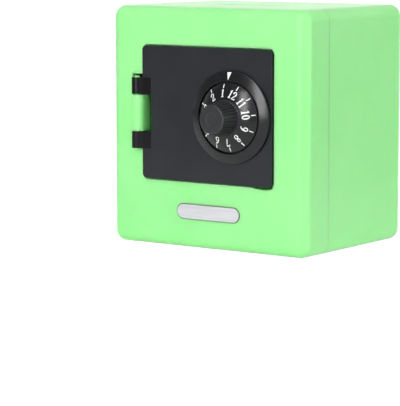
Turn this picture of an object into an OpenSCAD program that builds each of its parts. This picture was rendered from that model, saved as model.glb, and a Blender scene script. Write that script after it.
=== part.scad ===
// Combination safe bank: a square money box of two moulded shells, with a hinged door in the front
// that carries a combination dial, three lock discs behind it and a cover over them.
// Millimetres, +Z up, front face towards -Y, origin at the middle of the base.
// "Depth" is a distance behind the plane of the front face; what stands proud has a negative depth.

/* [Body] */
// Width of the body
body_w = 107.4; // [104:0.2:122]
// Depth of the body from front to back
body_d = 84; // [76:1:100]
// Height of the body
body_h = 110; // [106:1:125]
// Radius of the body's outer edges
edge_r = 5.2; // [4.4:0.2:6.4]
// Wall of both shells
wall = 2.4; // [2:0.1:3]
// Depth at which the front shell ends and the rear shell begins
front_shell_d = 19.3; // [17:0.1:22]
// Width of the fine groove along the seam
seam_w = 0.2; // [0.15:0.05:0.6]
// Depth of the seam groove
seam_d = 0.1; // [0.05:0.05:0.4]
// Length of the rear shell's tongue inside the front shell
tongue_l = 2.5; // [2:0.5:4]
// Thickness of the tongue
tongue_t = 1.2; // [1:0.1:1.6]
// Clearance round the tongue
tongue_gap = 0.1; // [0.1:0.05:0.2]

/* [Case screws] */
// Distance of each screw from the side of the body
boss_in_x = 10.5; // [10:0.5:12]
// Distance of each screw from the base and from the top
boss_in_z = 9.5; // [9:0.5:10.5]
// Outer radius of the rear shell's screw tubes
tube_r = 4.5; // [4.3:0.1:5]
// Outer radius of the front shell's screw bosses
boss_r = 3.6; // [3.2:0.1:4]
// Thickness of the floor that the screw head bears on
tube_floor = 2.5; // [2:0.5:3.5]
// Radius of the case screw's thread
case_screw_r = 1.4; // [1.2:0.1:1.6]
// Length of the case screw under its head
case_screw_l = 13; // [10:1:14]
// Thickness of the ribs that tie the tubes to the walls
rib_t = 1.6; // [1.2:0.1:2]

/* [Coin slot] */
// Length of the slot in the top
coin_slot_l = 39; // [30:1:45]
// Width of the slot
coin_slot_w = 3; // [2.6:0.1:4]
// Depth of the slot's centre line behind the front face
coin_slot_depth = 37; // [30:1:45]

/* [Name plate] */
// Width of the blank plate under the door
plate_w = 34.6; // [25:0.2:40]
// Height of the plate
plate_h = 7; // [6:0.2:9]
// Thickness of the plate
plate_t = 0.7; // [0.5:0.1:1]
// How far the plate is sunk into the front face
plate_sunk = 0.4; // [0.2:0.1:0.5]
// Height of the plate's centre above the base
plate_up = 17; // [15:0.1:20]
// Gap round the plate in its pocket
plate_gap = 0.25; // [0.1:0.05:0.4]
// Sideways shift of the plate from the middle of the body
plate_x = 1.3; // [-5:0.1:5]

/* [Door] */
// Width of the door plate
door_w = 71.6; // [70:0.2:74]
// Height of the door plate
door_h = 61.2; // [60:0.2:65]
// Thickness of the door plate
door_t = 2.2; // [2:0.1:2.6]
// Corner radius of the door plate
door_r = 2.2; // [1.6:0.1:4]
// How far the door stands in front of the body's face
door_proud = 1; // [0.8:0.1:1.1]
// Sideways shift of the door's centre from the middle of the body
door_x = 0.8; // [0:0.1:2]
// Height of the door's centre above the middle of the body
door_up = 6.5; // [3:0.1:8]
// Gap round the edge of the door
door_gap = 0.5; // [0.4:0.05:0.8]
// Gap between the back of the door and the ledge it closes on
seat_gap = 0.2; // [0.1:0.05:0.3]
// Depth below the seat of the relief groove that runs round its edge
relief_d = 1.4; // [0.2:0.1:1.5]
// Thickness of the ledge
ledge_t = 2.5; // [2:0.1:3]
// Width of the ledge on the hinge side
ledge_hinge = 1.5; // [1.2:0.1:2]
// Width of the ledge on the lock side
ledge_lock = 5.2; // [5:0.1:6]
// Width of the ledge above and below the opening
ledge_v = 6; // [5.5:0.1:6.5]
// Length of the curved finger-nail notch at the door's lower free corner
nail_l = 11.4; // [9:0.2:14]
// How far the notch reaches below the door's edge gap
nail_h = 0.8; // [0.4:0.1:1.2]
// How far the notch reaches up behind the door, so that a nail can catch it
nail_over = 1; // [0.8:0.1:1.5]
// Length of the slit in the lock-side ledge
slit_l = 29; // [20:1:32]
// Width of the slit
slit_w = 1; // [0.8:0.1:1.4]

/* [Hinge] */
// Distance of the hinge axis from the door's edge
hinge_out = 3.1; // [3:0.05:3.4]
// Distance of the hinge axis in front of the body's face
hinge_proud = 0.8; // [0.8:0.05:1]
// Distance of the hinge's centre below the door's centre
hinge_down = 0.5; // [0:0.1:2]
// Radius of the hinge pins, moulded on the front shell
pin_r = 1.3; // [1.1:0.05:1.5]
// Running clearance between pin and knuckle
pin_gap = 0.06; // [0.03:0.01:0.09]
// Outer radius of the knuckles and of the pillar between them
knuckle_r = 2.6; // [2.5:0.05:2.7]
// Height of each knuckle
knuckle_h = 7.6; // [6:0.1:8.4]
// Height of the body's hinge pillar
pillar_h = 16.6; // [15:0.2:19]
// Width of the flat down the middle of the pillar's round front
pillar_flat = 1.1; // [0.2:0.1:1.4]
// Gap between the pillar's ends and the knuckles
pillar_gap = 0.4; // [0.2:0.05:0.5]
// Length of the hinge pad that lies on the door's face
pad_l = 8.2; // [7.5:0.1:9]
// Thickness of that pad
pad_t = 0.4; // [0.3:0.05:0.4]
// Free height of the pocket above the upper knuckle
pocket_h = 1.6; // [1:0.1:4]
// Free height of the pocket below the lower knuckle
pocket_low_h = 0.4; // [0.4:0.1:4]

/* [Dial] */
// Radius of the dial's skirt
dial_r = 15.7; // [15.4:0.1:16]
// Radius of the knob where it meets the skirt
knob_r = 8; // [7.5:0.1:8.4]
// Radius of the knob at its cap
knob_top_r = 6.8; // [6.3:0.1:7]
// Height of the skirt's edge above the door's face
skirt_edge_h = 2.7; // [2.4:0.1:3.2]
// Radius of the curve of the skirt's domed face
skirt_curve = 20; // [19:0.5:26]
// Distance from the shaft at which that curve would be level
skirt_level_r = 4; // [3:0.2:6]
// Height of the knurled grip
grip_h = 8.4; // [7:0.1:11]
// Number of ridges on the grip
ridges = 32; // [24:1:40]
// Depth of the grooves between the ridges
ridge_d = 0.55; // [0.4:0.05:0.7]
// Thickness of the cap on the knob
cap_t = 0.8; // [0.7:0.1:1.2]
// Radius of the rounding along the cap's edge
cap_edge_r = 0.6; // [0.3:0.1:0.6]
// Number of graduations on the skirt
marks = 12; // [6:1:24]
// Length of a graduation
mark_l = 1.75; // [1.4:0.05:2.2]
// Width of a graduation
mark_w = 0.45; // [0.3:0.05:0.6]
// Thickness of the printed marks
print_t = 0.08; // [0.06:0.01:0.12]
// Distance of the raised ring round the dial from the door's free edge
ring_to_edge = 0.5; // [0.3:0.1:1]
// Gap between the dial's edge and the ring
ring_gap = 0.6; // [0.5:0.05:0.9]
// Height above the door's face at which the ring's outer side starts to round over
ring_side_h = 1.1; // [0.8:0.1:1.4]
// Radius of that rounding
ring_edge_r = 0.5; // [0.3:0.1:0.8]
// Radius of the curve of the ring's domed face
ring_curve = 35; // [30:1:45]
// Distance from the shaft at which that curve would be level
ring_level_r = 6.4; // [5:0.2:8]
// Width of the pointer on the ring
pointer_w = 2.2; // [1.8:0.1:3]
// Distance of the pointer from the ring's outer edge
pointer_in = 0.8; // [0.1:0.1:1.4]

/* [Lock discs] */
// Radius of the dial's shaft
shaft_r = 3; // [2.8:0.1:3.2]
// Running clearance between the shaft and what turns on it
shaft_gap = 0.06; // [0.03:0.01:0.09]
// How far the discs reach behind the ledge when the bank is locked
lock_throw = 4.2; // [3.6:0.1:4.3]
// Distance of each disc's flat from the shaft's centre
disc_flat = 11.5; // [11:0.1:11.8]
// Thickness of the two loose discs
disc_t = 1.6; // [1.4:0.1:1.8]
// Thickness of the disc that is keyed to the shaft
drive_t = 2; // [1.8:0.1:2.2]
// Space between neighbouring discs
disc_pitch_gap = 2; // [1.8:0.1:2.2]
// Gap between the ledge and the first disc
ledge_disc_gap = 0.5; // [0.4:0.1:0.7]
// End play of discs and spacers
end_play = 0.05; // [0.03:0.01:0.08]
// Radius of the pick-up pegs
peg_r = 1.2; // [1:0.1:1.3]
// Distance of the pegs from the shaft's centre
peg_at = 9; // [8.5:0.1:9.2]
// Outer radius of the spacer rings
spacer_r = 5; // [4.5:0.1:5.5]
// Height of the hub round the shaft on the door's back
hub_h = 1; // [0.8:0.1:1.2]
// Outer radius of the hub
hub_r = 5.2; // [5:0.1:5.6]
// Thickness of the friction spring's sheet
spring_t = 0.4; // [0.3:0.05:0.5]
// Thickness of the washer behind the last disc
washer_t = 0.8; // [0.6:0.1:1]
// Radius of the washer
washer_r = 4.6; // [4:0.1:5]
// Radius of the screw in the shaft's end
shaft_screw_r = 1.1; // [1:0.05:1.3]
// Height of that screw's head
shaft_screw_head = 1.6; // [1.4:0.1:1.8]

/* [Lock cover] */
// Wall of the cover
cover_t = 1.6; // [1.4:0.1:1.8]
// Space between the discs' rims and the cover
disc_clear = 1.5; // [1.3:0.1:1.7]
// Space between the cover and the edges of the opening
cover_gap = 1; // [0.8:0.1:1.2]
// Depth of the cover behind the door plate
cover_d = 17; // [16.8:0.1:18]
// Space between the cover's free side and the opening's edge
cover_side_gap = 3.3; // [3.2:0.1:3.6]
// Distance of the fixing ears from the shaft's centre, towards the hinge
ear_out = 26.9; // [26:0.1:28]
// Half the distance between the two fixing ears
ear_up = 13.4; // [12:0.1:14]
// Radius of the fixing ears
ear_r = 3.2; // [2.8:0.1:3.4]
// Thickness of the ears
ear_t = 1.6; // [1.4:0.1:2]
// Height of the posts under the ears
ear_post_h = 2; // [1.6:0.1:2.4]
// Radius of the cover screws' thread
cover_screw_r = 0.9; // [0.8:0.05:1]
// Width of the door's two snap arms
snap_w = 5.4; // [5:0.1:5.6]
// Thickness of the snap arms
snap_t = 1.2; // [1:0.1:1.2]

/* [Hidden] */
$fn = 64;

// How far cutting shapes run past what they cut, and how far joined shapes sink into each other
over = 1;
sink = 0.2;

// Body: the front face's plane, and the middle height
front_y = -body_d / 2;
mid_z = body_h / 2;
inner_r = edge_r - wall;
tube_x = body_w / 2 - boss_in_x;
tube_z = mid_z - boss_in_z;
screw_fit = 0.03;
hole_gap = 0.2;
well_wall = 1.25;
well_r = tube_r - well_wall;
head_gap = 0.3;
case_head_h = 2;
case_head_r = well_r - head_gap;
case_hole_r = case_screw_r + hole_gap;
slot_corner_r = 0.6;

// Door: edges of the plate, of the seat cut for it, and of the opening behind it
door_z = mid_z + door_up;
door_hinge_x = door_x - door_w / 2;
door_free_x = door_x + door_w / 2;
door_back = door_t - door_proud;
seat_depth = door_back + seat_gap;
ledge_back = seat_depth + ledge_t;
open_x0 = door_hinge_x - door_gap + ledge_hinge;
open_x1 = door_free_x + door_gap - ledge_lock;
open_w = open_x1 - open_x0;
open_x = (open_x0 + open_x1) / 2;
open_h = door_h + 2 * door_gap - 2 * ledge_v;
open_r = 1.5;
frame_out = 3.5;
frame_h = door_h + 2 * (door_gap + frame_out);
slit_x = open_x1 + ledge_lock / 2;
nail_up = nail_h + door_gap + nail_over;
nail_low = door_z - door_h / 2 - door_gap - nail_h;
nail_r = (nail_l * nail_l / 4 + nail_h * nail_h) / (2 * nail_h);

// Hinge: the axis, and the heights of pillar, knuckles and pockets
hinge_x = door_hinge_x - hinge_out;
hinge_z = door_z - hinge_down;
knuckle_z = pillar_h / 2 + pillar_gap;
pocket_side_gap = 0.8;
pocket_out = knuckle_r + pocket_side_gap;
frame_x0 = hinge_x - pocket_out - frame_out;
frame_x1 = door_free_x + door_gap + frame_out;
pin_over = 0.6;
knuckle_bore_r = pin_r + pin_gap;
clip_w = 1.5 * pin_r;
gusset_x = 0.73 * knuckle_r;
gusset_y = 0.65 * knuckle_r;

// Lock: everything along the shaft follows from the ledge, one piece after another
disc_r = open_h / 2 - cover_gap - cover_t - disc_clear;
dial_x = open_x1 + lock_throw - disc_r;
front_disc_d = ledge_back + ledge_disc_gap;
front_disc_back = front_disc_d + disc_t;
middle_disc_d = front_disc_back + disc_pitch_gap;
middle_disc_back = middle_disc_d + disc_t;
drive_disc_d = middle_disc_back + disc_pitch_gap;
drive_disc_back = drive_disc_d + drive_t;
washer_back = drive_disc_back + washer_t;
hub_back = door_back + hub_h;
bore_r = shaft_r + shaft_gap;
loose_bore_r = shaft_r + screw_fit;
shaft_flat = 0.75 * shaft_r;
peg_l = 0.7 * disc_pitch_gap;
spring_r = spacer_r + 1.6;
spring_rim = 0.8;
shaft_screw_l = 2.5 * drive_t;
screw_head_r = 2.2 * shaft_screw_r;

// Dial: heights are measured forward from the door's face
dial_under = 0.4;
skirt_middle = [skirt_level_r, skirt_edge_h - circle_rise(skirt_curve, dial_r - skirt_level_r)];
first_mark_at = 7;
print_in = 0.6;
fillet_w = 0.4;
fillet_out_r = knob_r + fillet_w;
fillet_h = 0.8;
skirt_top_h = skirt_middle[1] + circle_rise(skirt_curve, fillet_out_r - skirt_level_r);
knob_base_h = skirt_top_h + fillet_h;
cap_h = knob_base_h + grip_h;
cap_r = knob_top_r - ridge_d / 2;
cap_plug_r = 3;
cap_plug_l = 2;
ring_in_r = dial_r + ring_gap;
ring_r = door_free_x - dial_x - ring_to_edge;
ring_lip = 0.3;
ring_lip_r = ring_in_r + ring_lip;
ring_round_r = ring_r - ring_edge_r;
ring_slope = asin((ring_round_r - ring_level_r) / (ring_curve - ring_edge_r));
ring_face_r = ring_level_r + ring_curve * sin(ring_slope);
ring_middle = [ring_level_r, ring_side_h - (ring_curve - ring_edge_r) * cos(ring_slope)];
ring_h = ring_middle[1] + circle_rise(ring_curve, ring_lip_r - ring_level_r);
ring_peg_r = 0.9;
ring_peg_at = (ring_r + ring_in_r) / 2;

// Lock cover: its outline about the shaft, and its depth behind the door plate
cover_r = disc_r + disc_clear + cover_t;
cover_free = open_x1 - cover_side_gap - dial_x;
cover_back = door_back + cover_d;
window_h = 2 * sqrt(disc_r * disc_r - pow(cover_free - cover_t, 2)) + 2 * disc_clear;
snap_side = 0.5;
snap_x = cover_free - cover_t - snap_w / 2 - snap_side;
snap_gap = 0.2;
snap_h = 4.4;
snap_barb = 0.8;
snap_barb_d = 2;
cover_head_r = 2.1 * cover_screw_r;
cover_head_h = 1.2;
cover_screw_tip = 0.8;
cover_screw_l = ear_t + ear_post_h + door_back - cover_screw_tip;
ear_hole_r = cover_screw_r + hole_gap;

green = [0.66, 0.99, 0.63];
charcoal = [0.21, 0.21, 0.22];
gloss_black = [0.13, 0.13, 0.14];
white = [0.95, 0.95, 0.95];
silver = [0.80, 0.80, 0.83];
ivory = [0.86, 0.84, 0.78];
steel = [0.70, 0.71, 0.73];

// A rectangle drawn about the origin with round corners
module rounded(w, h, r) {
    square([w - 2 * r, h], center = true);
    square([w, h - 2 * r], center = true);
    for (sx = [-1, 1], sy = [-1, 1])
        translate([sx * (w / 2 - r), sy * (h / 2 - r)]) circle(r = r);
}

// A block drawn about the origin with every edge and corner round
module rounded_block(w, d, h, r) {
    x = w / 2 - r;
    y = d / 2 - r;
    z = h / 2 - r;
    cube([2 * x, 2 * y, h], center = true);
    cube([2 * x, d, 2 * z], center = true);
    cube([w, 2 * y, 2 * z], center = true);
    for (a = [-1, 1], b = [-1, 1], c = [-1, 1])
        translate([a * x, b * y, c * z]) sphere(r = r);
    for (a = [-1, 1], b = [-1, 1]) {
        translate([a * x, b * y, 0]) cylinder(r = r, h = 2 * z, center = true);
        translate([a * x, 0, b * z]) rotate([90, 0, 0]) cylinder(r = r, h = 2 * y, center = true);
        translate([0, a * y, b * z]) rotate([0, 90, 0]) cylinder(r = r, h = 2 * x, center = true);
    }
}

// An outline drawn in x and z, as seen from the front, filled from one depth to another
module slab(from, to) {
    translate([0, front_y + to, 0]) rotate([90, 0, 0]) linear_extrude(height = to - from) children();
}

// The same about the shaft's centre
module lock_slab(from, to) {
    slab(from, to) translate([dial_x, door_z]) children();
}

// A profile of radius and depth, turned about the shaft's axis
module turned() {
    translate([dial_x, front_y, door_z]) rotate([-90, 0, 0]) rotate_extrude() children();
}

// A profile of radius and height above the door's face, turned about the shaft's axis
module turned_on_door() {
    translate([dial_x, front_y - door_proud, door_z]) rotate([90, 0, 0]) rotate_extrude() children();
}

// A screw along y with a crossed head at the back: head from its seat backwards, thread forwards
module screw(seat, shank_r, shank_l, head_r, head_h) {
    cross_l = 1.3 * head_r;
    cross_w = 0.24 * head_r;
    cross_from = 0.45 * head_h;
    translate([0, front_y + seat, 0]) rotate([-90, 0, 0]) difference() {
        union() {
            translate([0, 0, -shank_l]) cylinder(r = shank_r, h = shank_l + sink);
            cylinder(r = head_r, h = head_h);
        }
        for (a = [0, 90])
            rotate([0, 0, a]) translate([-cross_l / 2, -cross_w / 2, cross_from])
                cube([cross_l, cross_w, head_h]);
    }
}

module at_corners() {
    for (sx = [-1, 1], sz = [-1, 1])
        translate([sx * tube_x, 0, mid_z + sz * tube_z]) children();
}

module body_outline(inset) {
    translate([0, mid_z]) rounded(body_w - 2 * inset, body_h - 2 * inset, edge_r - inset);
}

module body_solid() {
    translate([0, 0, mid_z]) rounded_block(body_w, body_d, body_h, edge_r);
}

module body_hollow() {
    translate([0, 0, mid_z])
        rounded_block(body_w - 2 * wall, body_d - 2 * wall, body_h - 2 * wall, inner_r);
}

// Everything of the body's cross-section between two depths, to cut a shell off at the seam
module body_slice(from, to) {
    translate([-body_w / 2 - over, front_y + from, -over])
        cube([body_w + 2 * over, to - from, body_h + 2 * over]);
}

// The door's outline about its centre, with a gap left round it
module door_outline(gap) {
    rounded(door_w + 2 * gap, door_h + 2 * gap, door_r + gap);
}

// Pockets, above and below the pillar, that the door's knuckles turn in
module hinge_pockets() {
    height = pillar_gap + knuckle_h + pocket_h;
    low_height = pillar_gap + knuckle_h + pocket_low_h;
    pocket = [open_x0 - hinge_x + pocket_out + sink, ledge_back + 2 * over];
    translate([hinge_x - pocket_out, front_y - over, hinge_z + pillar_h / 2])
        cube([pocket[0], pocket[1], height]);
    translate([hinge_x - pocket_out, front_y - over, hinge_z - pillar_h / 2 - low_height])
        cube([pocket[0], pocket[1], low_height]);
}

module hinge_pillar() {
    translate([hinge_x, front_y - hinge_proud, hinge_z]) {
        for (x = [0, pillar_flat])
            translate([x, 0, 0]) cylinder(r = knuckle_r, h = pillar_h, center = true);
        translate([0, -knuckle_r, -pillar_h / 2]) cube([pillar_flat, knuckle_r + sink, pillar_h]);
        translate([-knuckle_r, 0, -pillar_h / 2])
            cube([2 * knuckle_r + pillar_flat, hinge_proud + ledge_back, pillar_h]);
        cylinder(r = pin_r, h = 2 * (knuckle_z + knuckle_h + pin_over), center = true);
    }
}

module front_shell() {
    color(green) union() {
        difference() {
            union() {
                difference() {
                    body_solid();
                    body_hollow();
                    body_slice(front_shell_d, body_d + over);
                    difference() {
                        body_slice(front_shell_d - seam_w, front_shell_d + over);
                        slab(front_shell_d - seam_w - over, front_shell_d + 2 * over) body_outline(seam_d);
                    }
                }
                slab(wall - sink, ledge_back) translate([(frame_x0 + frame_x1) / 2, door_z])
                    rounded(frame_x1 - frame_x0, frame_h, door_r);
                at_corners() translate([0, front_y + wall - sink, 0]) rotate([-90, 0, 0])
                    cylinder(r = boss_r, h = front_shell_d - wall + sink);
            }
            slab(-over, seat_depth) translate([door_x, door_z]) door_outline(door_gap);
            slab(0, seat_depth + relief_d) translate([door_x, door_z]) difference() {
                door_outline(door_gap);
                door_outline(0);
            }
            slab(-over, ledge_back + over) intersection() {
                translate([door_free_x - nail_l / 2, nail_low + nail_r]) circle(r = nail_r);
                translate([door_free_x - nail_l, nail_low]) square([nail_l, nail_up]);
            }
            slab(-over, ledge_back + over) translate([open_x, door_z]) rounded(open_w, open_h, open_r);
            slab(-over, ledge_back + over) translate([hinge_x, hinge_z - pillar_h / 2 - sink])
                square([open_x0 - hinge_x + sink, pillar_h + 2 * sink]);
            slab(-over, ledge_back + over)
                translate([slit_x, door_z]) square([slit_w, slit_l], center = true);
            hinge_pockets();
            slab(-over, plate_sunk)
                translate([plate_x, plate_up]) pill(plate_w + 2 * plate_gap, plate_h + 2 * plate_gap);
            at_corners() translate([0, front_y + wall + over, 0]) rotate([-90, 0, 0])
                cylinder(r = case_screw_r + screw_fit, h = front_shell_d);
        }
        hinge_pillar();
    }
}

module rear_shell() {
    back = body_d - wall;
    head_seat = front_shell_d + tube_floor;
    tongue_out = wall + tongue_gap;
    rib_start = front_shell_d + tongue_l;
    rib_l = back - rib_start + sink;
    rib_y = front_y + (rib_start + back) / 2;
    color(green) difference() {
        union() {
            difference() {
                body_solid();
                body_hollow();
                body_slice(-over, front_shell_d);
            }
            slab(front_shell_d - tongue_l, front_shell_d + tongue_l) difference() {
                body_outline(tongue_out);
                body_outline(tongue_out + tongue_t);
            }
            slab(front_shell_d, front_shell_d + tongue_l) difference() {
                body_outline(wall - sink);
                body_outline(tongue_out + sink);
            }
            at_corners() translate([0, front_y + front_shell_d, 0]) rotate([-90, 0, 0])
                cylinder(r = tube_r, h = back - front_shell_d + sink);
            for (sx = [-1, 1], sz = [-1, 1]) {
                translate([sx * (tube_x + boss_in_x / 2 - sink), rib_y, mid_z + sz * tube_z])
                    cube([boss_in_x - wall, rib_l, rib_t], center = true);
                translate([sx * tube_x, rib_y, mid_z + sz * (tube_z + boss_in_z / 2 - sink)])
                    cube([rib_t, rib_l, boss_in_z - wall], center = true);
            }
        }
        at_corners() translate([0, front_y + head_seat, 0]) rotate([-90, 0, 0])
            cylinder(r = well_r, h = body_d);
        at_corners() translate([0, front_y + front_shell_d - over, 0]) rotate([-90, 0, 0])
            cylinder(r = case_hole_r, h = tube_floor + 2 * over);
        translate([0, front_y + coin_slot_depth, body_h - wall - over])
            linear_extrude(height = wall + 2 * over) rounded(coin_slot_l, coin_slot_w, slot_corner_r);
    }
}

module case_screws() {
    color(steel) at_corners()
        screw(front_shell_d + tube_floor, case_screw_r, case_screw_l, case_head_r, case_head_h);
}

// A bar with half-round ends
module pill(w, h) {
    square([w - h, h], center = true);
    for (s = [-1, 1])
        translate([s * (w - h) / 2, 0]) circle(r = h / 2);
}

module name_plate() {
    color(silver) slab(plate_sunk - plate_t, plate_sunk)
        translate([plate_x, plate_up]) pill(plate_w, plate_h);
}

// One of the two hinge knuckles, clipped on its pin from behind, with the arm and the pad on the door
module knuckle() {
    arm_front = door_proud - hinge_proud;
    arm_back = hinge_proud + door_back;
    pad_front = arm_front + pad_t;
    difference() {
        union() {
            cylinder(r = knuckle_r, h = knuckle_h);
            linear_extrude(height = knuckle_h) polygon([
                [0, arm_back], [0, 0], [gusset_x, -gusset_y],
                [hinge_out + sink, -pad_front], [pad_l - pad_t, -pad_front], [pad_l, -arm_front],
                [pad_l, 0], [hinge_out + sink, 0], [hinge_out + sink, arm_back]
            ]);
        }
        translate([0, 0, -over]) cylinder(r = knuckle_bore_r, h = knuckle_h + 2 * over);
        translate([-clip_w / 2, 0, -over]) cube([clip_w, knuckle_r + over, knuckle_h + 2 * over]);
        translate([-knuckle_r - over, arm_back, -over])
            cube([2 * (knuckle_r + over), knuckle_r, knuckle_h + 2 * over]);
    }
}

// An arm with a barb at its end, which snaps into a slot in the cover's wall
module snap_arm() {
    top = cover_r - cover_t - snap_gap;
    lock_slab(door_back - sink, door_back + snap_h)
        translate([snap_x, top - snap_t / 2]) square([snap_w, snap_t], center = true);
    lock_slab(door_back + snap_barb_d, door_back + snap_barb_d + snap_barb)
        translate([snap_x, top]) square([snap_w - 2 * snap_gap, 2 * snap_barb], center = true);
}

module mirrored_about_shaft() {
    children();
    translate([0, 0, 2 * door_z]) mirror([0, 0, 1]) children();
}

module door_plate() {
    notch_w = pad_l - hinge_out;
    color(charcoal) difference() {
        union() {
            difference() {
                slab(-door_proud, door_back) translate([door_x, door_z]) door_outline(0);
                translate([door_hinge_x - over, front_y - door_proud - over, hinge_z - knuckle_z])
                    cube([notch_w + over, door_t + 2 * over, 2 * knuckle_z]);
            }
            for (z = [knuckle_z, -knuckle_z - knuckle_h])
                translate([hinge_x, front_y - hinge_proud, hinge_z + z]) knuckle();
            lock_slab(door_back - sink, hub_back) circle(r = hub_r);
            for (s = [-1, 1])
                lock_slab(door_back - sink, door_back + ear_post_h)
                    translate([-ear_out, s * ear_up]) circle(r = ear_r);
            mirrored_about_shaft() snap_arm();
        }
        lock_slab(-door_proud - over, hub_back + over) circle(r = bore_r);
        for (a = [45:90:315])
            lock_slab(-door_proud - over, door_back + over) rotate(a) translate([ring_peg_at, 0])
                circle(r = ring_peg_r + screw_fit);
        for (s = [-1, 1])
            lock_slab(0, door_back + ear_post_h + over) translate([-ear_out, s * ear_up])
                circle(r = cover_screw_r + screw_fit);
    }
}

module dial_bezel() {
    steps = 5;
    turn = (90 - ring_slope) / steps;
    color(gloss_black) {
        turned_on_door() {
            polygon(concat(
                [[ring_lip_r, ring_h], [ring_in_r, ring_h - ring_lip / 2], [ring_in_r, 0], [ring_r, 0]],
                [for (i = [0:steps]) [
                    ring_round_r + ring_edge_r * cos(i * turn),
                    ring_side_h + ring_edge_r * sin(i * turn)
                ]]
            ));
            intersection() {
                translate(ring_middle) circle(r = ring_curve);
                translate([ring_lip_r, 0]) square([ring_face_r - ring_lip_r, 2 * ring_h]);
            }
        }
        for (a = [45:90:315])
            lock_slab(-door_proud - sink, door_back) rotate(a)
                translate([ring_peg_at, 0]) circle(r = ring_peg_r);
    }
}

// Profile of a thin printed skin on a curved face, between two radii
module print_skin(middle, curve, inner, outer) {
    intersection() {
        translate(middle) difference() {
            circle(r = curve + print_t);
            circle(r = curve);
        }
        translate([inner, 0]) square([outer - inner, curve]);
    }
}

// A printed triangle that follows the ring's face
module pointer_mark() {
    tip_gap = 0.05;
    base = ring_r - pointer_in;
    color(white) intersection() {
        turned_on_door() print_skin(ring_middle, ring_curve, ring_lip_r, ring_face_r);
        lock_slab(-door_proud - 2 * ring_h, -door_proud)
            polygon([[0, ring_lip_r + tip_gap], [pointer_w / 2, base], [-pointer_w / 2, base]]);
    }
}

// Outline of the cover about the shaft: round towards the hinge, straight towards the free edge
module cover_outline(inset) {
    r = cover_r - inset;
    difference() {
        circle(r = r);
        translate([0, -r - over]) square([r + over, 2 * (r + over)]);
    }
    translate([0, -r]) square([cover_free - inset, 2 * r]);
}

module lock_cover() {
    ear_front = door_back + ear_post_h;
    window_from = front_disc_d - ledge_disc_gap;
    window_to = drive_disc_back + ledge_disc_gap;
    color(charcoal) difference() {
        union() {
            lock_slab(door_back, cover_back) cover_outline(0);
            for (s = [-1, 1])
                lock_slab(ear_front, ear_front + ear_t) translate([-ear_out, s * ear_up]) {
                    circle(r = ear_r);
                    translate([0, -ear_r]) square([ear_out - cover_r / 2, 2 * ear_r]);
                }
        }
        lock_slab(door_back - over, cover_back - cover_t) cover_outline(cover_t);
        lock_slab(window_from, window_to) translate([cover_free, 0])
            square([2 * (cover_t + over), window_h], center = true);
        mirrored_about_shaft()
            lock_slab(door_back + snap_barb_d - snap_gap, door_back + snap_barb_d + snap_barb + snap_gap)
                translate([snap_x, cover_r]) square([snap_w, 2 * (cover_t + over)], center = true);
        for (s = [-1, 1])
            lock_slab(ear_front - over, ear_front + ear_t + over) translate([-ear_out, s * ear_up])
                circle(r = ear_hole_r);
    }
}

module cover_screws() {
    color(steel) for (s = [-1, 1])
        translate([dial_x - ear_out, 0, door_z + s * ear_up])
            screw(door_back + ear_post_h + ear_t, cover_screw_r, cover_screw_l, cover_head_r, cover_head_h);
}

// Outline of the knurled grip: flat-topped ridges round a circle
module knurl(r) {
    step = 360 / ridges;
    top = 0.16;
    foot = 0.32;
    polygon([
        for (i = [0:ridges - 1], p = [[-foot, r - ridge_d], [-top, r], [top, r], [foot, r - ridge_d]])
            [p[1] * cos((i + p[0]) * step), p[1] * sin((i + p[0]) * step)]
    ]);
}

// Height of a circle above its middle, at a distance to the side
function circle_rise(r, aside) = sqrt(r * r - aside * aside);

// Profile of the dial: a domed face for the numbers, and a small hollow up to the knob
module skirt_profile() {
    steps = 8;
    polygon(concat(
        [[0, dial_under], [fillet_out_r, dial_under]],
        [for (i = [0:steps]) [
            fillet_out_r - (fillet_out_r - knob_r + ridge_d) * sin(90 * i / steps),
            skirt_top_h + fillet_h * (1 - cos(90 * i / steps))
        ]],
        [[0, knob_base_h]]
    ));
    intersection() {
        translate(skirt_middle) circle(r = skirt_curve);
        translate([fillet_out_r - sink, dial_under]) square([dial_r - fillet_out_r + sink, skirt_top_h]);
    }
}

module dial_knob() {
    screw_hole_l = 4 * drive_t;
    color(gloss_black) difference() {
        union() {
            turned_on_door() skirt_profile();
            translate([dial_x, front_y - door_proud - skirt_top_h, door_z]) rotate([90, 0, 0])
                linear_extrude(height = cap_h - skirt_top_h, scale = knob_top_r / knob_r) knurl(knob_r);
            lock_slab(-door_proud - dial_under - sink, drive_disc_back) circle(r = shaft_r);
        }
        lock_slab(drive_disc_d, drive_disc_back + over)
            translate([shaft_flat, -shaft_r - over]) square([shaft_r, 2 * (shaft_r + over)]);
        lock_slab(drive_disc_back - screw_hole_l, drive_disc_back + over)
            circle(r = shaft_screw_r + screw_fit);
        turned_on_door() translate([0, cap_h - cap_plug_l - sink])
            square([cap_plug_r + screw_fit, cap_plug_l + over]);
    }
}

module knob_cap() {
    steps = 5;
    dimple_r = 3.2;
    dimple_side = 0.6;
    dimple_d = 0.12;
    color(gloss_black) turned_on_door() polygon(concat(
        [[0, cap_h - cap_plug_l], [cap_plug_r, cap_h - cap_plug_l], [cap_plug_r, cap_h], [cap_r, cap_h]],
        [for (i = [0:steps]) [
            cap_r - cap_edge_r * (1 - cos(90 * i / steps)),
            cap_h + cap_t - cap_edge_r * (1 - sin(90 * i / steps))
        ]],
        [
            [dimple_r, cap_h + cap_t], [dimple_r - dimple_side, cap_h + cap_t - dimple_d],
            [0, cap_h + cap_t - dimple_d]
        ]
    ));
}

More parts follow.
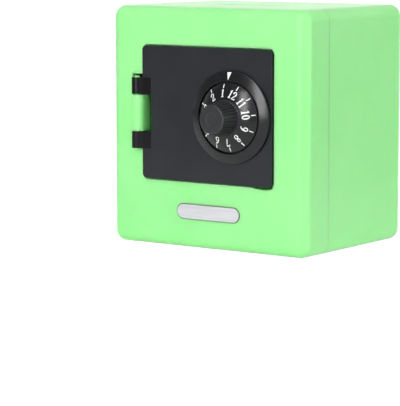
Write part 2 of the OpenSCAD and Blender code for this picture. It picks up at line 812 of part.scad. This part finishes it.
// The graduations, printed on the skirt's face
module dial_marks() {
    outer = dial_r - print_in;
    color(white) intersection() {
        turned_on_door() print_skin(skirt_middle, skirt_curve, outer - mark_l, outer);
        for (i = [0:marks - 1])
            lock_slab(-door_proud - 2 * skirt_top_h, -door_proud) rotate(first_mark_at + i * 360 / marks)
                translate([-mark_w / 2, 0]) square([mark_w, dial_r]);
    }
}

// A flat ring that turns with the shaft
module ring(from, to, outer, inner) {
    lock_slab(from, to) difference() {
        circle(r = outer);
        circle(r = inner);
    }
}

// A dished spring washer that presses the dial against the door
module friction_spring() {
    front = hub_back + end_play;
    back = front_disc_d - end_play;
    inner = shaft_r + hole_gap;
    color(steel) turned() polygon([
        [inner, front], [inner + spring_rim, front], [spring_r, back - spring_t],
        [spring_r, back], [spring_r - spring_rim, back],
        [inner + spring_rim - hole_gap, front + spring_t], [inner, front + spring_t]
    ]);
}

module front_spacer() {
    color(ivory) ring(front_disc_back + end_play, middle_disc_d - end_play, spacer_r, loose_bore_r);
}

module rear_spacer() {
    color(ivory) ring(middle_disc_back + end_play, drive_disc_d - end_play, spacer_r, loose_bore_r);
}

// Outline of a lock disc: round, with one flat that faces the opening's edge when the bank can open
module disc_outline() {
    difference() {
        circle(r = disc_r);
        translate([disc_flat, -disc_r]) square([disc_r, 2 * disc_r]);
    }
}

// A pick-up peg above the shaft (1) or below it (-1)
module peg(from, to, side) {
    lock_slab(from, to) translate([0, side * peg_at]) circle(r = peg_r);
}

module drive_disc() {
    color(ivory) union() {
        lock_slab(drive_disc_d, drive_disc_back) difference() {
            disc_outline();
            difference() {
                circle(r = loose_bore_r);
                translate([shaft_flat + screw_fit, -shaft_r - over]) square([shaft_r, 2 * (shaft_r + over)]);
            }
        }
        peg(drive_disc_d - peg_l, drive_disc_d + sink, 1);
    }
}

module middle_disc() {
    color(ivory) union() {
        lock_slab(middle_disc_d, middle_disc_back) difference() {
            disc_outline();
            circle(r = bore_r);
        }
        peg(middle_disc_back - sink, middle_disc_back + peg_l, -1);
        peg(middle_disc_d - peg_l, middle_disc_d + sink, 1);
    }
}

module front_disc() {
    color(ivory) union() {
        lock_slab(front_disc_d, front_disc_back) difference() {
            disc_outline();
            circle(r = bore_r);
        }
        peg(front_disc_back - sink, front_disc_back + peg_l, -1);
    }
}

module disc_washer() {
    color(steel) ring(drive_disc_back, washer_back, washer_r, shaft_screw_r + hole_gap);
}

module disc_screw() {
    color(steel) translate([dial_x, 0, door_z])
        screw(washer_back, shaft_screw_r, shaft_screw_l, screw_head_r, shaft_screw_head);
}

front_shell();
rear_shell();
case_screws();
name_plate();
door_plate();
dial_bezel();
pointer_mark();
lock_cover();
cover_screws();
dial_knob();
knob_cap();
dial_marks();
friction_spring();
front_spacer();
rear_spacer();
drive_disc();
disc_washer();
disc_screw();
middle_disc();
front_disc();
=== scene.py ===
"""Looks of the combination safe bank, dressed on its CAD model.

Metres, in the part's own frame: +Z up, the door's face towards -Y, origin in the middle of the base.
"""
import math

import bmesh
import bpy
from mathutils import Matrix, Vector
from mathutils.geometry import delaunay_2d_cdt


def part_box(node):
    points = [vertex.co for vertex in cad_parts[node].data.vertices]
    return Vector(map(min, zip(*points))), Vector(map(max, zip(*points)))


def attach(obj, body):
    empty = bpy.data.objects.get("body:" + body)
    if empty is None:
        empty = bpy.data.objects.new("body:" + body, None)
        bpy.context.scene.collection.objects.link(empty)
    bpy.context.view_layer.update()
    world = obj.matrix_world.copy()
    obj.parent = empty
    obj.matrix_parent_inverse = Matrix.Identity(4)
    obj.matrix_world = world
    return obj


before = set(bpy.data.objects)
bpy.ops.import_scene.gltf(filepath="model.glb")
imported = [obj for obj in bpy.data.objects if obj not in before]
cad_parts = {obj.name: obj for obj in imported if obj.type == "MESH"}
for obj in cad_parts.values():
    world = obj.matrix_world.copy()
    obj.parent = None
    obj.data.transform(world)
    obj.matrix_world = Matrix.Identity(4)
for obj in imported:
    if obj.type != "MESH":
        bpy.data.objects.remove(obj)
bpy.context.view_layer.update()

MM = 0.001

# Camera that took the photograph: place, turn, downward tilt, roll, and focal length in the frame's pixels
CAMERA_AT = Vector((567.8, -836.3, 146.9)) * MM
CAMERA_YAW = math.radians(35.71)
CAMERA_TILT = math.radians(7.315)
CAMERA_ROLL = math.radians(-0.04)
FOCAL_PX = 2168.6
FRAME_HEIGHT_PX = 406
SENSOR = 36.0
NEAREST_SEEN = 50 * MM

# How far the door stands in front of the body, and its polished hinge pads at least in front of the door
DOOR_PROUD = 1.0 * MM
POLISHED_PROUD = 0.1 * MM
# Radius of the dial's frosted grip, with the polished skirt round it
GRIP_R = 8.2 * MM
# Width of the painted shade along the name plate's outline, which stands in for the shaded gap round the
# plate
PLATE_SHADE_WIDTH = 0.4 * MM
# Width over which one finish turns into another on the same piece
FINISH_EDGE = 0.1 * MM

# Numbers printed on the dial: how many, the first one's clockwise angle from the top, and the way they run
NUMBERS = 12
FIRST_NUMBER_AT = -7.0
NUMBERS_RUN = -1
NUMBER_STEP = 360 / NUMBERS
# A number of two digits is turned on by this angle
TWO_DIGIT_SHIFT = -2.0
# Height of a number, and its gap to the graduations outside it
NUMBER_H = 3.5 * MM
NUMBER_GAP = 0.5 * MM
# How far the print stands out of the face, and how far it reaches into it
PRINT_T = 0.08 * MM
PRINT_SUNK = 0.02 * MM
# Points of the dial's mesh this close in radius are taken as one ring
RING_STEP = 0.02 * MM

# Broken edges: points this close are one, faces this flat are one, and sharper edges than that are broken
SAME_POINT = 0.001 * MM
FLAT_WITHIN = math.radians(0.5)
SHARP_FROM = math.radians(35)
EDGE_STEPS = 2

# Half the floor's width, its own glow, and the share of the glow where the floor is looked at
FLOOR_REACH = 6.0
FLOOR_GLOW = 1.4
FLOOR_GLOW_SHARE = 0.7
# What gloss misses of the floor's glow, from nothing at the near distance to all of this at the far one
FLOOR_LOSS = 1.15
FLOOR_NEAR = 0.2
FLOOR_FAR = 0.6
# Strength of the light from all round
AMBIENT = 0.28
# The unlit corner: its direction, the radii of its core and its edge in degrees, and its brightness
DARK_AZIMUTH = -48
DARK_ELEVATION = 24
DARK_CORE = 24
DARK_EDGE = 46
DARK_LEVEL = 0.2
# Panel lamps: name, azimuth from the front towards +X, elevation, distance, width and height, power
LAMPS = [
    ("front_panel", 5, 21, 1.0, (0.27, 0.84), 7.2),
    ("right_strip", 76, 8, 0.9, (0.10, 0.50), 0.7),
    ("side_panel", 108, 8, 0.9, (0.30, 0.50), 2.9),
    ("top_panel", 20, 75, 1.2, (0.8, 0.8), 2.6),
    ("back_panel", 215, 12, 0.9, (0.8, 0.36), 0.9),
]
# The point that all lamps face, half way up the object
LAMPS_FACE = Vector((0, 0, 55)) * MM


def make_camera():
    """The photograph's camera."""
    data = bpy.data.cameras.new("camera")
    data.sensor_width = SENSOR
    data.lens = FOCAL_PX / FRAME_HEIGHT_PX * SENSOR
    data.clip_start = NEAREST_SEEN
    camera = bpy.data.objects.new("camera", data)
    bpy.context.scene.collection.objects.link(camera)
    turn = Matrix.Rotation(CAMERA_YAW, 4, "Z") @ Matrix.Rotation(math.pi / 2 - CAMERA_TILT, 4, "X")
    camera.matrix_world = Matrix.Translation(CAMERA_AT) @ turn @ Matrix.Rotation(CAMERA_ROLL, 4, "Z")
    bpy.context.scene.camera = camera


# Signals that materials are made of

# Most of a noise's values lie between these
NOISE_LOW = 0.35
NOISE_HIGH = 0.65
# A mixing node's two inputs and its output, for values and for colours
VALUE_SOCKETS = (2, 3, 0)
COLOUR_SOCKETS = (6, 7, 2)


def here(tree):
    """The place of a point, fixed to the object."""
    return tree.nodes.new("ShaderNodeTexCoord").outputs["Object"]


def noise(tree, size, stretch=(1, 1, 1), detail=3.0):
    """Noise whose features are about that size in metres."""
    mapping = tree.nodes.new("ShaderNodeMapping")
    mapping.inputs["Scale"].default_value = stretch
    texture = tree.nodes.new("ShaderNodeTexNoise")
    texture.inputs["Scale"].default_value = 1 / size
    texture.inputs["Detail"].default_value = detail
    tree.links.new(here(tree), mapping.inputs["Vector"])
    tree.links.new(mapping.outputs["Vector"], texture.inputs["Vector"])
    return texture.outputs["Fac"]


def spread(tree, factor, low, high, start=NOISE_LOW, end=NOISE_HIGH):
    """From low to high as the factor goes from start to end."""
    node = tree.nodes.new("ShaderNodeMapRange")
    node.inputs["From Min"].default_value = start
    node.inputs["From Max"].default_value = end
    node.inputs["To Min"].default_value = low
    node.inputs["To Max"].default_value = high
    tree.links.new(factor, node.inputs["Value"])
    return node.outputs["Result"]


def blend(tree, factor, first, second):
    """From the first to the second as the factor goes from 0 to 1; colours if either is written as one."""
    node = tree.nodes.new("ShaderNodeMix")
    tree.links.new(factor, node.inputs["Factor"])
    a, b, result = VALUE_SOCKETS
    if isinstance(first, tuple) or isinstance(second, tuple):
        node.data_type = "RGBA"
        a, b, result = COLOUR_SOCKETS
    for socket, value in ((a, first), (b, second)):
        if isinstance(value, tuple):
            node.inputs[socket].default_value = (*value, 1)
        else:
            tree.links.new(value, node.inputs[socket])
    return node.outputs[result]


def blend_colours(tree, clouds, first, second):
    """From one colour to the other along a noise."""
    return blend(tree, spread(tree, clouds, 0, 1), first, second)


def combine(tree, operation, first, second):
    """One value from two, each a signal or a number."""
    node = tree.nodes.new("ShaderNodeMath")
    node.operation = operation
    for socket, value in zip(node.inputs, (first, second)):
        if isinstance(value, float):
            socket.default_value = value
        else:
            tree.links.new(value, socket)
    return node.outputs[0]


def vector_steps(tree, signal, *steps):
    """The signal after each step, which is an operation and its other operand."""
    for operation, operand in steps:
        node = tree.nodes.new("ShaderNodeVectorMath")
        node.operation = operation
        tree.links.new(signal, node.inputs[0])
        if operand is not None:
            node.inputs[1].default_value = operand
        signal = node.outputs["Value" if operation in ("LENGTH", "DOT_PRODUCT") else "Vector"]
    return signal


# Places on the object where a finish changes

def behind(tree, y):
    """0 where the object is further forward than that y, else 1."""
    parts = tree.nodes.new("ShaderNodeSeparateXYZ")
    tree.links.new(here(tree), parts.inputs["Vector"])
    return spread(tree, parts.outputs["Y"], 0, 1, y - FINISH_EDGE / 2, y + FINISH_EDGE / 2)


def away_from_shaft(tree, radius):
    """0 nearer to the dial's shaft than that, else 1."""
    low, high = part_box("dial_knob")
    reach = vector_steps(
        tree, here(tree), ("SUBTRACT", (low + high) / 2), ("MULTIPLY", (1, 0, 1)), ("LENGTH", None))
    return spread(tree, reach, 0, 1, radius, radius + FINISH_EDGE)


def near_plate_outline(tree):
    """1 close to the outline of the name plate, a bar with half-round ends, where shade is painted, else 0.
    """
    low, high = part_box("name_plate")
    radius = (high.z - low.z) / 2
    straight = (high.x - low.x) / 2 - radius
    reach = vector_steps(
        tree, here(tree), ("SUBTRACT", (low + high) / 2), ("ABSOLUTE", None),
        ("SUBTRACT", (straight, 0, 0)), ("MAXIMUM", (0, 0, 0)), ("MULTIPLY", (1, 0, 1)), ("LENGTH", None))
    return spread(tree, reach, 0, 1, radius - PLATE_SHADE_WIDTH, radius - PLATE_SHADE_WIDTH / 2)


# Materials: colours are linear unless srgb() makes them so

def principled(name, **sockets):
    """A material with one Principled shader whose named sockets hold the given values."""
    material = bpy.data.materials.new(name)
    material.use_nodes = True
    shader = material.node_tree.nodes["Principled BSDF"]
    for socket, value in sockets.items():
        shader.inputs[socket.replace("_", " ")].default_value = value
    return material, material.node_tree, shader


def srgb(r, g, b):
    """Linear colour of an 8-bit sRGB one."""
    return tuple(((c / 255 + 0.055) / 1.055) ** 2.4 if c > 10 else c / 255 / 12.92 for c in (r, g, b))


def finish_surface(tree, shader, colour, roughness, *relief):
    """Gives a shader its colour, roughness and relief, each layer a height signal and its depth."""
    tree.links.new(colour, shader.inputs["Base Color"])
    tree.links.new(roughness, shader.inputs["Roughness"])
    normal = None
    for height, depth in relief:
        node = tree.nodes.new("ShaderNodeBump")
        node.inputs["Distance"].default_value = depth
        tree.links.new(height, node.inputs["Height"])
        if normal:
            tree.links.new(normal, node.inputs["Normal"])
        normal = node.outputs["Normal"]
    tree.links.new(normal, shader.inputs["Normal"])


def green_plastic():
    """The body's moulded plastic, which lets a little light in."""
    material, tree, shader = principled(
        "green_plastic", IOR=1.49, Specular_IOR_Level=0.5,
        Subsurface_Weight=0.7, Subsurface_Scale=5 * MM, Subsurface_Radius=(0.3, 1.0, 0.3))
    cloud = noise(tree, 45 * MM, detail=2.0)
    colour = blend_colours(tree, cloud, srgb(153, 246, 149), srgb(159, 250, 155))
    roughness = spread(tree, noise(tree, 12 * MM), 0.36, 0.40)
    grain = noise(tree, 1.2 * MM, detail=2.0)
    finish_surface(tree, shader, colour, roughness, (grain, 0.006 * MM))
    return material


def charcoal_plastic(polished_before):
    """The door's fine matte plastic, darker and polished where it is further forward than that y."""
    material, tree, shader = principled("charcoal_plastic", IOR=1.5, Specular_IOR_Level=0.3)
    grain = noise(tree, 0.35 * MM, detail=2.0)
    cloud = noise(tree, 20 * MM)
    matte = behind(tree, polished_before)
    plain = blend_colours(tree, cloud, (0.016, 0.0175, 0.021), (0.020, 0.0215, 0.0255))
    colour = blend(tree, matte, (0.004, 0.004, 0.0055), plain)
    roughness = blend(tree, matte, spread(tree, grain, 0.20, 0.24), spread(tree, grain, 0.28, 0.33))
    finish_surface(tree, shader, colour, roughness, (grain, 0.004 * MM))
    return material


def satin_black():
    """The cap's plastic, finely frosted."""
    material, tree, shader = principled("satin_black", IOR=1.5, Specular_IOR_Level=0.4)
    frost = noise(tree, 0.3 * MM, detail=2.0)
    cloud = noise(tree, 8 * MM, detail=2.0)
    colour = blend_colours(tree, cloud, (0.018, 0.0185, 0.0215), (0.022, 0.0225, 0.026))
    roughness = spread(tree, frost, 0.36, 0.44)
    finish_surface(tree, shader, colour, roughness, (frost, 0.003 * MM))
    return material


def black_plastic(name, frosted_within=0.0):
    """Polished black plastic, frosted and less dark on what lies nearer than that to the dial's shaft."""
    material, tree, shader = principled(name, IOR=1.5, Specular_IOR_Level=0.32)
    cloud = noise(tree, 10 * MM, detail=2.0)
    colour = blend_colours(tree, cloud, (0.009, 0.0095, 0.011), (0.011, 0.0115, 0.013))
    roughness = spread(tree, noise(tree, 3 * MM, detail=1.0), 0.20, 0.215)
    if frosted_within:
        polished = away_from_shaft(tree, frosted_within)
        frost = spread(tree, noise(tree, 0.3 * MM, detail=2.0), 0.38, 0.46)
        colour = blend(tree, polished, (0.022, 0.023, 0.026), colour)
        roughness = blend(tree, polished, frost, roughness)
    waves = noise(tree, 4 * MM, detail=1.0)
    finish_surface(tree, shader, colour, roughness, (waves, 0.002 * MM))
    return material


def white_ink():
    """The dial's print, slightly worn."""
    material, tree, shader = principled("white_ink", IOR=1.45, Specular_IOR_Level=0.4)
    wear = noise(tree, 0.5 * MM, detail=4.0)
    colour = blend_colours(tree, wear, (0.80, 0.80, 0.79), (0.93, 0.93, 0.92))
    roughness = spread(tree, wear, 0.4, 0.55)
    finish_surface(tree, shader, colour, roughness, (wear, 0.008 * MM))
    return material


def silver_foil():
    """The name plate's brushed foil, with a thin dark green painted shade along its outline that stands in
    for the shaded gap round the plate.
    """
    material, tree, shader = principled("silver_foil", Metallic=0.7)
    brushed = noise(tree, 0.7 * MM, stretch=(0.05, 1, 1))
    foil = blend_colours(tree, brushed, (0.64, 0.635, 0.675), (0.72, 0.715, 0.755))
    # Painted shade: the dark green line along the outline stands in for the shade in the recess gap round
    # the plate
    colour = blend(tree, near_plate_outline(tree), foil, (0.20, 0.27, 0.20))
    roughness = spread(tree, brushed, 0.34, 0.44)
    dents = noise(tree, 4 * MM)
    finish_surface(tree, shader, colour, roughness, (brushed, 0.003 * MM), (dents, 0.01 * MM))
    return material


def ivory_plastic():
    """Natural moulded plastic of the lock's discs and spacers."""
    material, tree, shader = principled(
        "ivory_plastic", IOR=1.48, Subsurface_Weight=0.1, Subsurface_Scale=2 * MM)
    cloud = noise(tree, 8 * MM, detail=2.0)
    colour = blend_colours(tree, cloud, (0.70, 0.67, 0.57), (0.76, 0.73, 0.63))
    roughness = spread(tree, noise(tree, 2 * MM), 0.38, 0.48)
    grain = noise(tree, 0.8 * MM, detail=2.0)
    finish_surface(tree, shader, colour, roughness, (grain, 0.005 * MM))
    return material


def zinc_steel():
    """Plated steel of the screws, washer and spring."""
    material, tree, shader = principled("zinc_steel", Metallic=1.0)
    spangle = noise(tree, 0.9 * MM, detail=4.0)
    colour = blend_colours(tree, spangle, (0.56, 0.57, 0.59), (0.70, 0.71, 0.72))
    roughness = spread(tree, spangle, 0.26, 0.40)
    finish_surface(tree, shader, colour, roughness, (spangle, 0.006 * MM))
    return material


# Numerals: each is a few strokes of thick and thin in a box one unit high, joined into one outline

THICK = 0.17
THIN = 0.09
GLYPH_SPACE = 0.12
# Spacing of the extra points that let a numeral follow the dial's round face
GLYPH_NET = 0.12


def stroke(points, widths):
    """A pen stroke through the points, as four-sided pieces; widths are interpolated from first to last."""
    last = len(points) - 1
    sides = []
    for i, point in enumerate(points):
        before = points[max(i - 1, 0)]
        after = points[min(i + 1, last)]
        along = (after - before).normalized()
        across = Vector((-along.y, along.x)) * width_at(widths, i / last) / 2
        sides.append((point + across, point - across))
    return [[a, b, d, c] for (a, b), (c, d) in zip(sides, sides[1:])]


def width_at(widths, share):
    """A stroke's width at a share of its way."""
    place = share * (len(widths) - 1)
    i = min(int(place), len(widths) - 2)
    return widths[i] + (widths[i + 1] - widths[i]) * (place - i)


def line(start, end, steps=6):
    """Points of a straight line."""
    return [Vector(start).lerp(Vector(end), i / steps) for i in range(steps + 1)]


def arc(centre, rx, ry, start, end, steps=14):
    """Points of an ellipse's arc; angles in degrees, anticlockwise from +x."""
    angles = [math.radians(start + (end - start) * i / steps) for i in range(steps + 1)]
    return [Vector((centre[0] + rx * math.cos(a), centre[1] + ry * math.sin(a))) for a in angles]


def bowl(centre, rx, ry, thick, thin):
    """A ring with thick sides and a thin top and bottom, whose ends overlap by ten degrees."""
    return stroke(arc(centre, rx, ry, 0, 370, 37), [thick, thin, thick, thin, thick])


def glyph(digit):
    """(width, pieces) of one numeral, one unit high."""
    if digit == "0":
        return 0.56, bowl((0.28, 0.5), 0.20, 0.455, THICK, THIN)
    if digit == "1":
        stem = stroke(line((0.21, 0.02), (0.21, 1.0)), [THICK, THICK])
        foot = stroke(line((0.03, 0.04), (0.39, 0.04)), [THIN, THIN])
        flag = stroke(line((0.04, 0.80), (0.22, 0.955)), [THIN, THIN])
        return 0.42, stem + foot + flag
    if digit == "2":
        hook = stroke(arc((0.28, 0.72), 0.20, 0.235, 190, -35, 16), [THICK, THIN, THICK])
        down = stroke(line((0.45, 0.60), (0.08, 0.08)), [THICK * 0.9, THIN])
        base = stroke(line((0.03, 0.06), (0.53, 0.06)), [THIN * 1.3, THIN * 1.3])
        tick = stroke(line((0.51, 0.02), (0.51, 0.20)), [THIN, THIN])
        return 0.56, hook + down + base + tick
    if digit == "3":
        top = stroke(arc((0.25, 0.745), 0.18, 0.21, 165, -80, 16), [THIN, THICK, THIN])
        low = stroke(arc((0.25, 0.285), 0.21, 0.24, 85, -165, 16), [THIN, THICK, THIN])
        return 0.54, top + low
    if digit == "4":
        stem = stroke(line((0.38, 0.0), (0.38, 1.0)), [THICK, THICK])
        slope = stroke(line((0.38, 0.96), (0.05, 0.30)), [THIN, THIN])
        bar = stroke(line((0.01, 0.29), (0.56, 0.29)), [THIN, THIN])
        foot = stroke(line((0.24, 0.04), (0.52, 0.04)), [THIN, THIN])
        return 0.58, stem + slope + bar + foot
    if digit == "5":
        flag = stroke(line((0.12, 0.94), (0.49, 0.94)), [THICK * 0.8, THICK * 0.8])
        stem = stroke(line((0.13, 0.96), (0.11, 0.53)), [THIN, THIN])
        low = stroke(arc((0.25, 0.315), 0.21, 0.27, 130, -160, 18), [THIN, THICK, THICK, THIN])
        return 0.54, flag + stem + low
    if digit == "6":
        ring = bowl((0.28, 0.29), 0.20, 0.25, THICK * 0.9, THIN)
        tail = stroke(arc((0.46, 0.33), 0.385, 0.63, 95, 180), [THIN, THICK, THICK])
        return 0.56, ring + tail
    if digit == "7":
        bar = stroke(line((0.03, 0.93), (0.53, 0.93)), [THICK * 0.8, THICK * 0.8])
        tick = stroke(line((0.07, 0.76), (0.07, 0.99)), [THIN, THIN])
        leg = stroke(line((0.50, 0.92), (0.20, 0.0)), [THIN, THICK])
        return 0.56, bar + tick + leg
    if digit == "8":
        top = bowl((0.28, 0.745), 0.165, 0.20, THICK * 0.85, THIN)
        low = bowl((0.28, 0.275), 0.20, 0.235, THICK, THIN)
        return 0.56, top + low
    # A nine is a six turned half round
    width, pieces = glyph("6")
    return width, [[Vector((width - v.x, 1 - v.y)) for v in piece] for piece in pieces]


def number_pieces(number):
    """Strokes of a whole number, centred on x = 0 and standing on y = 0."""
    pieces = []
    pen = 0.0
    for digit in str(number):
        width, strokes = glyph(digit)
        pieces += [[v + Vector((pen, 0)) for v in piece] for piece in strokes]
        pen += width + GLYPH_SPACE
    middle = (pen - GLYPH_SPACE) / 2
    return [[v - Vector((middle, 0)) for v in piece] for piece in pieces]


def united(pieces, net):
    """One flat mesh (points, triangles) that covers the overlapping pieces, with extra points on a net."""
    points = [v for piece in pieces for v in piece]
    faces = [list(range(4 * i, 4 * i + 4)) for i in range(len(pieces))]
    xs = [v.x for v in points]
    ys = [v.y for v in points]
    columns = int((max(xs) - min(xs)) / net) + 1
    rows = int((max(ys) - min(ys)) / net) + 1
    points += [Vector((min(xs) + i * net, min(ys) + j * net)) for i in range(columns) for j in range(rows)]
    inside_faces = 1
    tolerance = 1e-5
    flat, _, triangles, _, _, sources = delaunay_2d_cdt(points, [], faces, inside_faces, tolerance, True)
    return flat, [t for t, source in zip(triangles, sources) if source]


# The dial's numbers

class DialFace:
    """The dial's numbered face, read off its mesh: how far forward it lies at a radius."""

    def __init__(self):
        low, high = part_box("dial_knob")
        self.centre = (low + high) / 2
        self.marks_from = min(radius for radius, _ in self.spots("dial_marks"))
        rings = {}
        for radius, y in self.spots("dial_knob"):
            ring = round(radius / RING_STEP)
            rings[ring] = min(y, rings.get(ring, y))
        self.profile = sorted((ring * RING_STEP, y) for ring, y in rings.items())

    def spots(self, name):
        """Radius about the shaft and y of each point of a node."""
        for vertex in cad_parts[name].data.vertices:
            yield math.hypot(vertex.co.x - self.centre.x, vertex.co.z - self.centre.z), vertex.co.y

    def y(self, radius):
        """Where the bare face lies at a radius."""
        for (r0, y0), (r1, y1) in zip(self.profile, self.profile[1:]):
            if radius <= r1:
                return y0 + (y1 - y0) * (radius - r0) / (r1 - r0)
        return self.profile[-1][1]


def dial_numbers(face, ink):
    """The printed numbers: thin raised shapes that follow the dial's face, their tops outward."""
    form = bmesh.new()
    top_radius = face.marks_from - NUMBER_GAP
    for number in range(1, NUMBERS + 1):
        shift = TWO_DIGIT_SHIFT if number > 9 else 0
        angle = math.radians(FIRST_NUMBER_AT + NUMBERS_RUN * NUMBER_STEP * (number - 1) + shift)
        outward = Vector((math.sin(angle), math.cos(angle)))
        aside = Vector((math.cos(angle), -math.sin(angle)))
        flat, triangles = united(number_pieces(number), GLYPH_NET)
        layers = []
        for lift in (-PRINT_SUNK, PRINT_T):
            layer = []
            for v in flat:
                spot = outward * (top_radius - NUMBER_H * (1 - v.y)) + aside * (v.x * NUMBER_H)
                depth = face.y(spot.length) - lift
                layer.append(form.verts.new((face.centre.x + spot.x, depth, face.centre.z + spot.y)))
            layers.append(layer)
        close_slab(form, layers, triangles)
    return finished("dial_numbers", form, ink, "dial")


def close_slab(form, layers, triangles):
    """Back, front and rim faces between two like layers of points."""
    back, front = layers
    # Edges that only one triangle has, each in that triangle's direction
    rim = {}
    for a, b, c in triangles:
        form.faces.new((front[a], front[b], front[c]))
        form.faces.new((back[c], back[b], back[a]))
        for edge in ((a, b), (b, c), (c, a)):
            if edge[::-1] in rim:
                del rim[edge[::-1]]
            else:
                rim[edge] = True
    for a, b in rim:
        form.faces.new((front[b], front[a], back[a], back[b]))
    loose = [v for v in form.verts if not v.link_faces]
    bmesh.ops.delete(form, geom=loose, context="VERTS")


def finished(name, form, material, body):
    """Turns a form into an object with one material, which rides on a body."""
    bmesh.ops.recalc_face_normals(form, faces=form.faces)
    piece = placed(name, form, material)
    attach(piece, body)
    return piece


def placed(name, form, material):
    """Turns a form into an object with one material."""
    mesh = bpy.data.meshes.new(name)
    form.to_mesh(mesh)
    form.free()
    mesh.materials.append(material)
    piece = bpy.data.objects.new(name, mesh)
    bpy.context.scene.collection.objects.link(piece)
    return piece


# CAD nodes: material of each, and the width of its broken edges in millimetres

FINISHES = {
    "front_shell": ("green", 0.08),
    "rear_shell": ("green", 0.06),
    "case_screws": ("steel", 0.08),
    "name_plate": ("silver", 0.12),
    "door_plate": ("charcoal", 0.25),
    "dial_bezel": ("black", 0.2),
    "pointer_mark": ("white", 0),
    "lock_cover": ("charcoal", 0.25),
    "cover_screws": ("steel", 0.06),
    "dial_knob": ("knob", 0),
    "knob_cap": ("satin", 0.15),
    "dial_marks": ("white", 0),
    "friction_spring": ("steel", 0.05),
    "front_spacer": ("ivory", 0.1),
    "rear_spacer": ("ivory", 0.1),
    "drive_disc": ("ivory", 0.12),
    "disc_washer": ("steel", 0.06),
    "disc_screw": ("steel", 0.06),
    "middle_disc": ("ivory", 0.12),
    "front_disc": ("ivory", 0.12),
}


def make_materials():
    """The materials that FINISHES names."""
    # The origin is in the middle of the body, so the body's front and back are equally far from it
    body_front = -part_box("rear_shell")[1].y
    return {
        "green": green_plastic(),
        "charcoal": charcoal_plastic(body_front - DOOR_PROUD - POLISHED_PROUD),
        "black": black_plastic("black_plastic"),
        "knob": black_plastic("knob_plastic", GRIP_R),
        "satin": satin_black(),
        "white": white_ink(),
        "silver": silver_foil(),
        "ivory": ivory_plastic(),
        "steel": zinc_steel(),
    }


def dress(node, material, edge):
    """Gives a CAD node its material and, where asked, fine broken edges; its own mesh stays as it is."""
    node.data.materials.clear()
    node.data.materials.append(material)
    if not edge:
        return
    weld = node.modifiers.new("weld", "WELD")
    weld.merge_threshold = SAME_POINT
    flat = node.modifiers.new("flat", "DECIMATE")
    flat.decimate_type = "DISSOLVE"
    flat.angle_limit = FLAT_WITHIN
    bevel = node.modifiers.new("edges", "BEVEL")
    bevel.width = edge * MM
    bevel.segments = EDGE_STEPS
    bevel.limit_method = "ANGLE"
    bevel.angle_limit = SHARP_FROM
    even = node.modifiers.new("even", "WEIGHTED_NORMAL")
    even.mode = "FACE_AREA"
    even.keep_sharp = True


# Studio

def make_floor():
    """A white floor, which keeps the object's soft shadow."""
    material, tree, shader = principled(
        "floor_white", Base_Color=(0.9, 0.9, 0.9, 1), Roughness=0.9, Specular_IOR_Level=0.0)
    reach = vector_steps(tree, here(tree), ("LENGTH", None))
    loss = spread(tree, reach, 0, FLOOR_LOSS, FLOOR_NEAR, FLOOR_FAR)
    glow = tree.nodes.new("ShaderNodeEmission")
    tree.links.new(less_on_gloss(tree, FLOOR_GLOW, loss), glow.inputs["Strength"])
    mix = tree.nodes.new("ShaderNodeMixShader")
    tree.links.new(spread(tree, seen(tree), 0, FLOOR_GLOW_SHARE, 0, 1), mix.inputs["Fac"])
    tree.links.new(shader.outputs["BSDF"], mix.inputs[1])
    tree.links.new(glow.outputs["Emission"], mix.inputs[2])
    tree.links.new(mix.outputs["Shader"], tree.nodes["Material Output"].inputs["Surface"])
    form = bmesh.new()
    bmesh.ops.create_grid(form, x_segments=1, y_segments=1, size=FLOOR_REACH)
    placed("floor", form, material)


def make_world():
    """White surroundings, dim as a light."""
    world = bpy.data.worlds.new("studio")
    bpy.context.scene.world = world
    world.use_nodes = True
    tree = world.node_tree
    background = tree.nodes["Background"]
    background.inputs["Color"].default_value = (1, 1, 1, 1)
    shown = spread(tree, seen(tree), AMBIENT, 1.0, 0, 1)
    tree.links.new(less_on_gloss(tree, shown, unlit_corner(tree)), background.inputs["Strength"])


def seen(tree):
    """1 on rays from the camera and on what gloss and glass show, else 0."""
    rays = tree.nodes.new("ShaderNodeLightPath").outputs
    mirrored = combine(tree, "MAXIMUM", rays["Is Glossy Ray"], rays["Is Transmission Ray"])
    return combine(tree, "MAXIMUM", rays["Is Camera Ray"], mirrored)


def unlit_corner(tree):
    """What the world lacks towards the studio's unlit corner, front left and above."""
    direction = tree.nodes.new("ShaderNodeTexCoord").outputs["Generated"]
    along = vector_steps(tree, direction, ("DOT_PRODUCT", towards(DARK_AZIMUTH, DARK_ELEVATION)))
    edge = math.cos(math.radians(DARK_EDGE))
    core = math.cos(math.radians(DARK_CORE))
    return spread(tree, along, 0, 1 - DARK_LEVEL, edge, core)


def less_on_gloss(tree, strength, loss):
    """The strength, a number or a signal, less the loss on what gloss shows."""
    on_gloss = tree.nodes.new("ShaderNodeLightPath").outputs["Is Glossy Ray"]
    return combine(tree, "SUBTRACT", strength, combine(tree, "MULTIPLY", loss, on_gloss))


def towards(azimuth, elevation):
    """Unit vector away from the object; azimuth in degrees from the front towards +X."""
    a, e = math.radians(azimuth), math.radians(elevation)
    return Vector((math.sin(a) * math.cos(e), -math.cos(a) * math.cos(e), math.sin(e)))


def make_lamps():
    """Soft panel lamps round the object."""
    for name, azimuth, elevation, distance, size, power in LAMPS:
        data = bpy.data.lights.new(name, "AREA")
        data.shape = "RECTANGLE"
        data.size, data.size_y = size
        data.energy = power
        lamp = bpy.data.objects.new(name, data)
        bpy.context.scene.collection.objects.link(lamp)
        away = towards(azimuth, elevation)
        lamp.location = LAMPS_FACE + away * distance
        lamp.rotation_euler = away.to_track_quat("Z", "Y").to_euler()


make_camera()

materials = make_materials()
for name, (finish, edge) in FINISHES.items():
    dress(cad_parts[name], materials[finish], edge)
dial_numbers(DialFace(), materials["white"])

make_floor()
make_world()
make_lamps()
bpy.context.scene.view_settings.view_transform = "Standard"
